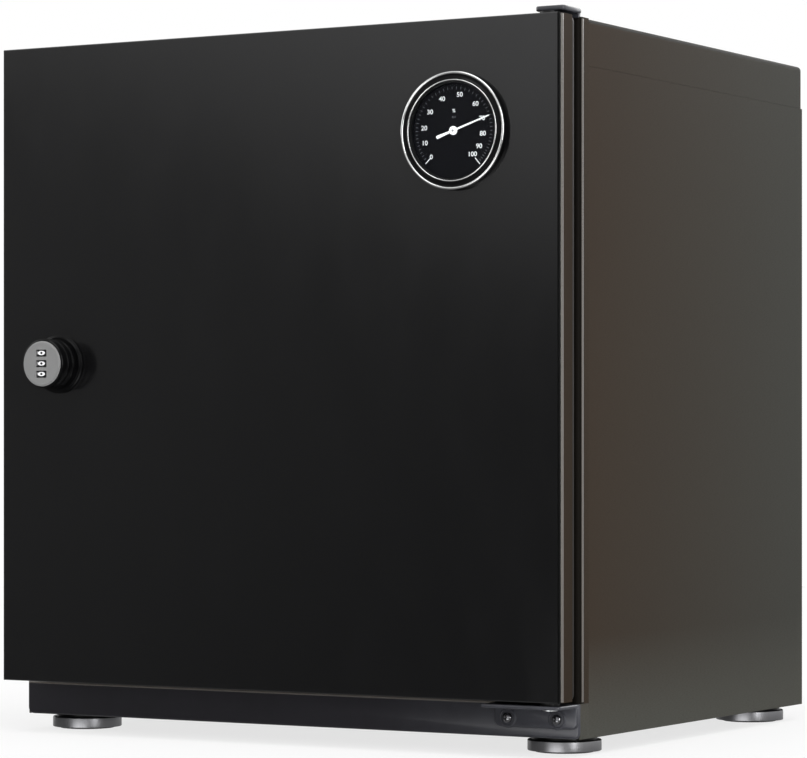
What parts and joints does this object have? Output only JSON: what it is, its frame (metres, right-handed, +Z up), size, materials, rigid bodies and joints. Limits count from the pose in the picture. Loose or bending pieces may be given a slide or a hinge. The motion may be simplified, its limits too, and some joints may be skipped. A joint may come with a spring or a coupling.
{
  "type": "dry cabinet",
  "caption": "Steel dry cabinet with a dark glass door, combination cam lock, dial hygrometer in the door, shelves, and a drying unit with linked air shutters on its rear wall.",
  "frame": {"origin": "middle of the whole object on the floor that its foot pads stand on", "axes": "+X to the right seen from the front, +Y from the door to the rear panel, +Z up"},
  "size_m": [0.4, 0.3816, 0.4399],
  "materials": {
    "painted_steel": "fine textured powder coat, dark brown black",
    "front_steel": "smooth dark powder coat",
    "bright_steel": "plated",
    "glass_black": "polished dark tinted glass",
    "clear_glass": "polished clear",
    "black_plastic": "moulded, satin",
    "grey_plastic": "moulded, satin",
    "white_plastic": "moulded, satin",
    "rubber": "matt",
    "foam": "open cell",
    "dial_face": "printed, satin",
    "pointer_white": "painted",
    "foot_metal": "brushed",
    "lock_black": "gloss black plated",
    "lock_grey": "satin",
    "copper_coil": "bare strip",
    "board_green": "lacquered",
    "lamp_green": "clear tinted",
    "desiccant": "woven pack"
  },
  "bodies": {
    "cabinet": {"base_pan": "painted_steel", "side_panel_left": "painted_steel", "side_panel_right": "painted_steel", "top_cover": "painted_steel", "rear_panel": "painted_steel", "front_frame": "painted_steel", "plinth_front": "front_steel", "interior_floor": "painted_steel", "feet": "foot_metal", "foot_pads": "rubber", "uprights_left": "bright_steel", "uprights_right": "bright_steel", "shelf_lower": "painted_steel", "shelf_upper": "painted_steel", "shelf_clips": "bright_steel", "shelf_mats": "foam", "floor_mat": "foam", "hinge_bracket_lower": "front_steel", "hinge_bracket_upper": "front_steel", "hinge_pins": "bright_steel", "hinge_screws": "bright_steel", "strike_plate": "bright_steel", "dryer_housing": "white_plastic", "dryer_grille": "white_plastic", "desiccant_pack": "desiccant", "heater_plate": "bright_steel", "control_board": "board_green", "status_lamp": "lamp_green", "power_inlet": "black_plastic", "vent_cover": "black_plastic", "shutter_springs": "bright_steel"},
    "door": {"door_glass": "glass_black", "door_frame": "painted_steel", "door_rim": "grey_plastic", "door_seal": "rubber", "hinge_bushes": "black_plastic", "lock_barrel": "lock_black", "lock_nut": "bright_steel", "hygrometer_bezel": "lock_black", "hygrometer_case": "black_plastic", "hygrometer_lens": "clear_glass", "hygrometer_dial": "dial_face", "hygrometer_clamp": "black_plastic", "hygrometer_coil": "copper_coil"},
    "lock": {"lock_knob": "lock_black", "lock_face": "lock_grey", "wheel_axle": "bright_steel", "lock_cam": "bright_steel", "cam_screw": "bright_steel"},
    "wheel_top": {"number_wheel_1": "black_plastic"},
    "wheel_middle": {"number_wheel_2": "black_plastic"},
    "wheel_low": {"number_wheel_3": "black_plastic"},
    "pointer": {"hygrometer_pointer": "pointer_white"},
    "inner_shutter": {"shutter_inner": "white_plastic"},
    "outer_shutter": {"shutter_outer": "white_plastic"},
    "link": {"shutter_link": "white_plastic"},
    "dryer_knob": {"setting_knob": "grey_plastic"}
  },
  "joints": [
    {"name": "door_swing", "type": "hinge", "parent": "cabinet", "child": "door", "pos_m": [0.1885, -0.15925, 0.234], "axis": [0, 0, 1], "range_deg": [0, 110]},
    {"name": "lock_turn", "type": "hinge", "parent": "door", "child": "lock", "pos_m": [-0.1555, -0.17075, 0.234], "axis": [0, -1, 0], "range_deg": [0, 90]},
    {"name": "wheel_top_turn", "type": "hinge", "parent": "lock", "child": "wheel_top", "pos_m": [-0.1555, -0.18325, 0.2406], "axis": [0, 0, 1], "continuous": true},
    {"name": "wheel_middle_turn", "type": "hinge", "parent": "lock", "child": "wheel_middle", "pos_m": [-0.1555, -0.18325, 0.234], "axis": [0, 0, 1], "continuous": true},
    {"name": "wheel_low_turn", "type": "hinge", "parent": "lock", "child": "wheel_low", "pos_m": [-0.1555, -0.18325, 0.2274], "axis": [0, 0, 1], "continuous": true},
    {"name": "pointer_turn", "type": "hinge", "parent": "door", "child": "pointer", "pos_m": [0.1315, -0.17075, 0.3687], "axis": [0, 1, 0], "range_deg": [-206.5, 67.7]},
    {"name": "inner_shutter_swing", "type": "hinge", "parent": "cabinet", "child": "inner_shutter", "pos_m": [0, 0.14155, 0.154], "axis": [-1, 0, 0], "range_deg": [0, 35]},
    {"name": "outer_shutter_swing", "type": "hinge", "parent": "cabinet", "child": "outer_shutter", "pos_m": [0, 0.16955, 0.154], "axis": [-1, 0, 0], "range_deg": [0, 35]},
    {"name": "link_pivot", "type": "hinge", "parent": "inner_shutter", "child": "link", "pos_m": [0.055, 0.13914, 0.16163], "axis": [-1, 0, 0], "range_deg": [-35, 0], "deforming": ["shutter_springs"]},
    {"name": "setting_turn", "type": "hinge", "parent": "cabinet", "child": "dryer_knob", "pos_m": [0.069, 0.13555, 0.142], "axis": [0, -1, 0], "range_deg": [-135, 135]}
  ],
  "couplings": [
    {"joint": "outer_shutter_swing", "follows": "inner_shutter_swing", "ratio": 1},
    {"joint": "link_pivot", "follows": "inner_shutter_swing", "ratio": -1}
  ]
}
